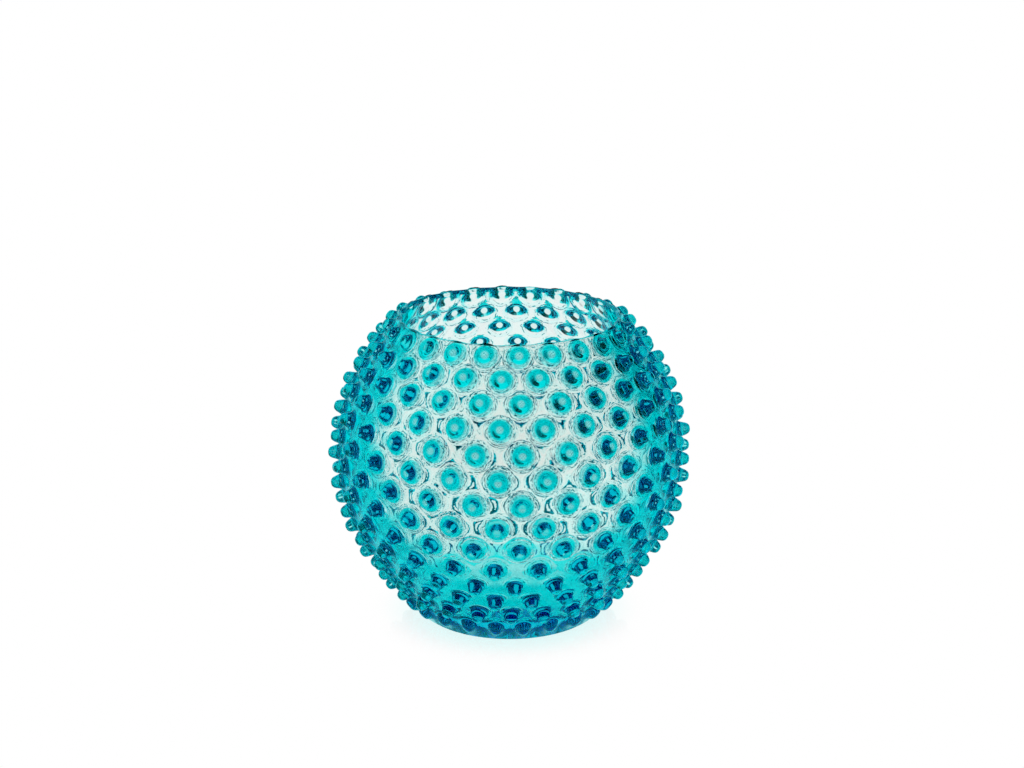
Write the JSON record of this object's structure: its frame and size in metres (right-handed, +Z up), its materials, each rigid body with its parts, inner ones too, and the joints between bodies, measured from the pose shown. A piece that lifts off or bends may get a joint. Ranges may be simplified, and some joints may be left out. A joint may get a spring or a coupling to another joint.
{
  "type": "hobnail glass globe vase",
  "caption": "Ball-shaped glass vase with a wide, flat-cut mouth and a small flat foot, covered in staggered rows of pointed hobnails; holds cut flowers.",
  "frame": {"origin": "middle of the flat foot, on the surface the vase stands on", "axes": "+Z up along the axis of the vase; -Y is the side seen from the front"},
  "size_m": [0.1996, 0.1996, 0.17],
  "materials": {
    "turquoise_glass": "clear turquoise glass, fire-polished, smooth and glossy"
  },
  "bodies": {
    "root": {"glass_vase": "turquoise_glass"}
  },
  "joints": []
}
